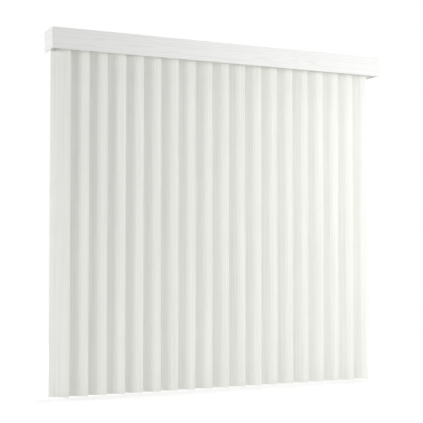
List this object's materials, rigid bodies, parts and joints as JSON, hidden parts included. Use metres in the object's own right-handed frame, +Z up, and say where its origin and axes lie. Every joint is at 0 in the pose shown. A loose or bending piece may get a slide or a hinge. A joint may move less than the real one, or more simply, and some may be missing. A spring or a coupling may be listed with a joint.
{
  "type": "vertical blind",
  "caption": "Vertical window blind: crowned embossed vanes hung from carriers in a ceiling-fixed head rail, behind a boxed valance; the vanes tilt together and draw aside.",
  "frame": {"origin": "on the ceiling plane, midway between the outer brackets' screw holes, over the head rail's axis", "axes": "+X along the head rail to the right as seen from the room, +Y to the wall, +Z up to the ceiling"},
  "size_m": [1.652, 0.122, 1.5747],
  "materials": {
    "vane_pvc": "embossed",
    "valance_board": "wood grain",
    "rail_aluminium": "satin",
    "bracket_steel": "zinc plated",
    "carrier_acetal": "moulded",
    "moulded_plastic": "moulded"
  },
  "bodies": {
    "rail": {"headrail": "rail_aluminium", "end_cap_left": "moulded_plastic", "end_cap_right": "moulded_plastic", "bracket_left": "bracket_steel", "bracket_centre": "bracket_steel", "bracket_right": "bracket_steel", "valance_front": "valance_board", "valance_return_left": "valance_board", "valance_return_right": "valance_board", "valance_corner_left": "moulded_plastic", "valance_corner_right": "moulded_plastic", "valance_clip_left": "moulded_plastic", "valance_clip_centre": "moulded_plastic", "valance_clip_right": "moulded_plastic", "carrier_01": "carrier_acetal"},
    "tilt_rod": {"tilt_rod": "rail_aluminium"},
    "wand_hook": {"wand_hook": "moulded_plastic"},
    "carrier_02": {"carrier_02": "carrier_acetal"},
    "carrier_03": {"carrier_03": "carrier_acetal"},
    "carrier_04": {"carrier_04": "carrier_acetal"},
    "carrier_05": {"carrier_05": "carrier_acetal"},
    "carrier_06": {"carrier_06": "carrier_acetal"},
    "carrier_07": {"carrier_07": "carrier_acetal"},
    "carrier_08": {"carrier_08": "carrier_acetal"},
    "carrier_09": {"carrier_09": "carrier_acetal"},
    "carrier_10": {"carrier_10": "carrier_acetal"},
    "carrier_11": {"carrier_11": "carrier_acetal"},
    "carrier_12": {"carrier_12": "carrier_acetal"},
    "carrier_13": {"carrier_13": "carrier_acetal"},
    "carrier_14": {"carrier_14": "carrier_acetal"},
    "carrier_15": {"carrier_15": "carrier_acetal"},
    "carrier_16": {"carrier_16": "carrier_acetal"},
    "carrier_17": {"carrier_17": "carrier_acetal"},
    "carrier_18": {"carrier_18": "carrier_acetal"},
    "carrier_19": {"carrier_19": "carrier_acetal"},
    "vane_01": {"vane_01": "vane_pvc"},
    "vane_02": {"vane_02": "vane_pvc"},
    "vane_03": {"vane_03": "vane_pvc"},
    "vane_04": {"vane_04": "vane_pvc"},
    "vane_05": {"vane_05": "vane_pvc"},
    "vane_06": {"vane_06": "vane_pvc"},
    "vane_07": {"vane_07": "vane_pvc"},
    "vane_08": {"vane_08": "vane_pvc"},
    "vane_09": {"vane_09": "vane_pvc"},
    "vane_10": {"vane_10": "vane_pvc"},
    "vane_11": {"vane_11": "vane_pvc"},
    "vane_12": {"vane_12": "vane_pvc"},
    "vane_13": {"vane_13": "vane_pvc"},
    "vane_14": {"vane_14": "vane_pvc"},
    "vane_15": {"vane_15": "vane_pvc"},
    "vane_16": {"vane_16": "vane_pvc"},
    "vane_17": {"vane_17": "vane_pvc"},
    "vane_18": {"vane_18": "vane_pvc"},
    "vane_19": {"vane_19": "vane_pvc"}
  },
  "joints": [
    {"name": "traverse_02", "type": "slide", "parent": "rail", "child": "carrier_02", "axis": [1, 0, 0], "range_m": [-0.068, 0]},
    {"name": "traverse_03", "type": "slide", "parent": "rail", "child": "carrier_03", "axis": [1, 0, 0], "range_m": [-0.136, 0]},
    {"name": "traverse_04", "type": "slide", "parent": "rail", "child": "carrier_04", "axis": [1, 0, 0], "range_m": [-0.204, 0]},
    {"name": "traverse_05", "type": "slide", "parent": "rail", "child": "carrier_05", "axis": [1, 0, 0], "range_m": [-0.272, 0]},
    {"name": "traverse_06", "type": "slide", "parent": "rail", "child": "carrier_06", "axis": [1, 0, 0], "range_m": [-0.34, 0]},
    {"name": "traverse_07", "type": "slide", "parent": "rail", "child": "carrier_07", "axis": [1, 0, 0], "range_m": [-0.408, 0]},
    {"name": "traverse_08", "type": "slide", "parent": "rail", "child": "carrier_08", "axis": [1, 0, 0], "range_m": [-0.476, 0]},
    {"name": "traverse_09", "type": "slide", "parent": "rail", "child": "carrier_09", "axis": [1, 0, 0], "range_m": [-0.544, 0]},
    {"name": "traverse_10", "type": "slide", "parent": "rail", "child": "carrier_10", "axis": [1, 0, 0], "range_m": [-0.612, 0]},
    {"name": "traverse_11", "type": "slide", "parent": "rail", "child": "carrier_11", "axis": [1, 0, 0], "range_m": [-0.68, 0]},
    {"name": "traverse_12", "type": "slide", "parent": "rail", "child": "carrier_12", "axis": [1, 0, 0], "range_m": [-0.748, 0]},
    {"name": "traverse_13", "type": "slide", "parent": "rail", "child": "carrier_13", "axis": [1, 0, 0], "range_m": [-0.816, 0]},
    {"name": "traverse_14", "type": "slide", "parent": "rail", "child": "carrier_14", "axis": [1, 0, 0], "range_m": [-0.884, 0]},
    {"name": "traverse_15", "type": "slide", "parent": "rail", "child": "carrier_15", "axis": [1, 0, 0], "range_m": [-0.952, 0]},
    {"name": "traverse_16", "type": "slide", "parent": "rail", "child": "carrier_16", "axis": [1, 0, 0], "range_m": [-1.02, 0]},
    {"name": "traverse_17", "type": "slide", "parent": "rail", "child": "carrier_17", "axis": [1, 0, 0], "range_m": [-1.088, 0]},
    {"name": "traverse_18", "type": "slide", "parent": "rail", "child": "carrier_18", "axis": [1, 0, 0], "range_m": [-1.156, 0]},
    {"name": "traverse_19", "type": "slide", "parent": "rail", "child": "carrier_19", "axis": [1, 0, 0], "range_m": [-1.224, 0]},
    {"name": "tilt_01", "type": "hinge", "parent": "rail", "child": "vane_01", "pos_m": [-0.772, 0, -0.0334], "axis": [0, 0, -1], "range_deg": [-14.5, 134.5]},
    {"name": "tilt_02", "type": "hinge", "parent": "carrier_02", "child": "vane_02", "pos_m": [-0.688, 0, -0.0334], "axis": [0, 0, -1], "range_deg": [-14.5, 134.5]},
    {"name": "tilt_03", "type": "hinge", "parent": "carrier_03", "child": "vane_03", "pos_m": [-0.604, 0, -0.0334], "axis": [0, 0, -1], "range_deg": [-14.5, 134.5]},
    {"name": "tilt_04", "type": "hinge", "parent": "carrier_04", "child": "vane_04", "pos_m": [-0.52, 0, -0.0334], "axis": [0, 0, -1], "range_deg": [-14.5, 134.5]},
    {"name": "tilt_05", "type": "hinge", "parent": "carrier_05", "child": "vane_05", "pos_m": [-0.436, 0, -0.0334], "axis": [0, 0, -1], "range_deg": [-14.5, 134.5]},
    {"name": "tilt_06", "type": "hinge", "parent": "carrier_06", "child": "vane_06", "pos_m": [-0.352, 0, -0.0334], "axis": [0, 0, -1], "range_deg": [-14.5, 134.5]},
    {"name": "tilt_07", "type": "hinge", "parent": "carrier_07", "child": "vane_07", "pos_m": [-0.268, 0, -0.0334], "axis": [0, 0, -1], "range_deg": [-14.5, 134.5]},
    {"name": "tilt_08", "type": "hinge", "parent": "carrier_08", "child": "vane_08", "pos_m": [-0.184, 0, -0.0334], "axis": [0, 0, -1], "range_deg": [-14.5, 134.5]},
    {"name": "tilt_09", "type": "hinge", "parent": "carrier_09", "child": "vane_09", "pos_m": [-0.1, 0, -0.0334], "axis": [0, 0, -1], "range_deg": [-14.5, 134.5]},
    {"name": "tilt_10", "type": "hinge", "parent": "carrier_10", "child": "vane_10", "pos_m": [-0.016, 0, -0.0334], "axis": [0, 0, -1], "range_deg": [-14.5, 134.5]},
    {"name": "tilt_11", "type": "hinge", "parent": "carrier_11", "child": "vane_11", "pos_m": [0.068, 0, -0.0334], "axis": [0, 0, -1], "range_deg": [-14.5, 134.5]},
    {"name": "tilt_12", "type": "hinge", "parent": "carrier_12", "child": "vane_12", "pos_m": [0.152, 0, -0.0334], "axis": [0, 0, -1], "range_deg": [-14.5, 134.5]},
    {"name": "tilt_13", "type": "hinge", "parent": "carrier_13", "child": "vane_13", "pos_m": [0.236, 0, -0.0334], "axis": [0, 0, -1], "range_deg": [-14.5, 134.5]},
    {"name": "tilt_14", "type": "hinge", "parent": "carrier_14", "child": "vane_14", "pos_m": [0.32, 0, -0.0334], "axis": [0, 0, -1], "range_deg": [-14.5, 134.5]},
    {"name": "tilt_15", "type": "hinge", "parent": "carrier_15", "child": "vane_15", "pos_m": [0.404, 0, -0.0334], "axis": [0, 0, -1], "range_deg": [-14.5, 134.5]},
    {"name": "tilt_16", "type": "hinge", "parent": "carrier_16", "child": "vane_16", "pos_m": [0.488, 0, -0.0334], "axis": [0, 0, -1], "range_deg": [-14.5, 134.5]},
    {"name": "tilt_17", "type": "hinge", "parent": "carrier_17", "child": "vane_17", "pos_m": [0.572, 0, -0.0334], "axis": [0, 0, -1], "range_deg": [-14.5, 134.5]},
    {"name": "tilt_18", "type": "hinge", "parent": "carrier_18", "child": "vane_18", "pos_m": [0.656, 0, -0.0334], "axis": [0, 0, -1], "range_deg": [-14.5, 134.5]},
    {"name": "tilt_19", "type": "hinge", "parent": "carrier_19", "child": "vane_19", "pos_m": [0.74, 0, -0.0334], "axis": [0, 0, -1], "range_deg": [-14.5, 134.5]},
    {"name": "rod_turn", "type": "hinge", "parent": "rail", "child": "tilt_rod", "pos_m": [0, 0, -0.02], "axis": [1, 0, 0], "range_deg": [-174, 1614]},
    {"name": "wand_hook_turn", "type": "hinge", "parent": "carrier_19", "child": "wand_hook", "pos_m": [0.79, 0, -0.0334], "axis": [0, 0, -1], "range_deg": [-174, 1614]}
  ],
  "couplings": [
    {"joint": "traverse_02", "follows": "traverse_19", "ratio": 0.055556},
    {"joint": "traverse_03", "follows": "traverse_19", "ratio": 0.11111},
    {"joint": "traverse_04", "follows": "traverse_19", "ratio": 0.16667},
    {"joint": "traverse_05", "follows": "traverse_19", "ratio": 0.22222},
    {"joint": "traverse_06", "follows": "traverse_19", "ratio": 0.27778},
    {"joint": "traverse_07", "follows": "traverse_19", "ratio": 0.33333},
    {"joint": "traverse_08", "follows": "traverse_19", "ratio": 0.38889},
    {"joint": "traverse_09", "follows": "traverse_19", "ratio": 0.44444},
    {"joint": "traverse_10", "follows": "traverse_19", "ratio": 0.5},
    {"joint": "traverse_11", "follows": "traverse_19", "ratio": 0.55556},
    {"joint": "traverse_12", "follows": "traverse_19", "ratio": 0.61111},
    {"joint": "traverse_13", "follows": "traverse_19", "ratio": 0.66667},
    {"joint": "traverse_14", "follows": "traverse_19", "ratio": 0.72222},
    {"joint": "traverse_15", "follows": "traverse_19", "ratio": 0.77778},
    {"joint": "traverse_16", "follows": "traverse_19", "ratio": 0.83333},
    {"joint": "traverse_17", "follows": "traverse_19", "ratio": 0.88889},
    {"joint": "traverse_18", "follows": "traverse_19", "ratio": 0.94444},
    {"joint": "tilt_02", "follows": "tilt_01", "ratio": 1},
    {"joint": "tilt_03", "follows": "tilt_01", "ratio": 1},
    {"joint": "tilt_04", "follows": "tilt_01", "ratio": 1},
    {"joint": "tilt_05", "follows": "tilt_01", "ratio": 1},
    {"joint": "tilt_06", "follows": "tilt_01", "ratio": 1},
    {"joint": "tilt_07", "follows": "tilt_01", "ratio": 1},
    {"joint": "tilt_08", "follows": "tilt_01", "ratio": 1},
    {"joint": "tilt_09", "follows": "tilt_01", "ratio": 1},
    {"joint": "tilt_10", "follows": "tilt_01", "ratio": 1},
    {"joint": "tilt_11", "follows": "tilt_01", "ratio": 1},
    {"joint": "tilt_12", "follows": "tilt_01", "ratio": 1},
    {"joint": "tilt_13", "follows": "tilt_01", "ratio": 1},
    {"joint": "tilt_14", "follows": "tilt_01", "ratio": 1},
    {"joint": "tilt_15", "follows": "tilt_01", "ratio": 1},
    {"joint": "tilt_16", "follows": "tilt_01", "ratio": 1},
    {"joint": "tilt_17", "follows": "tilt_01", "ratio": 1},
    {"joint": "tilt_18", "follows": "tilt_01", "ratio": 1},
    {"joint": "tilt_19", "follows": "tilt_01", "ratio": 1},
    {"joint": "rod_turn", "follows": "tilt_01", "ratio": 12},
    {"joint": "wand_hook_turn", "follows": "tilt_01", "ratio": 12}
  ]
}
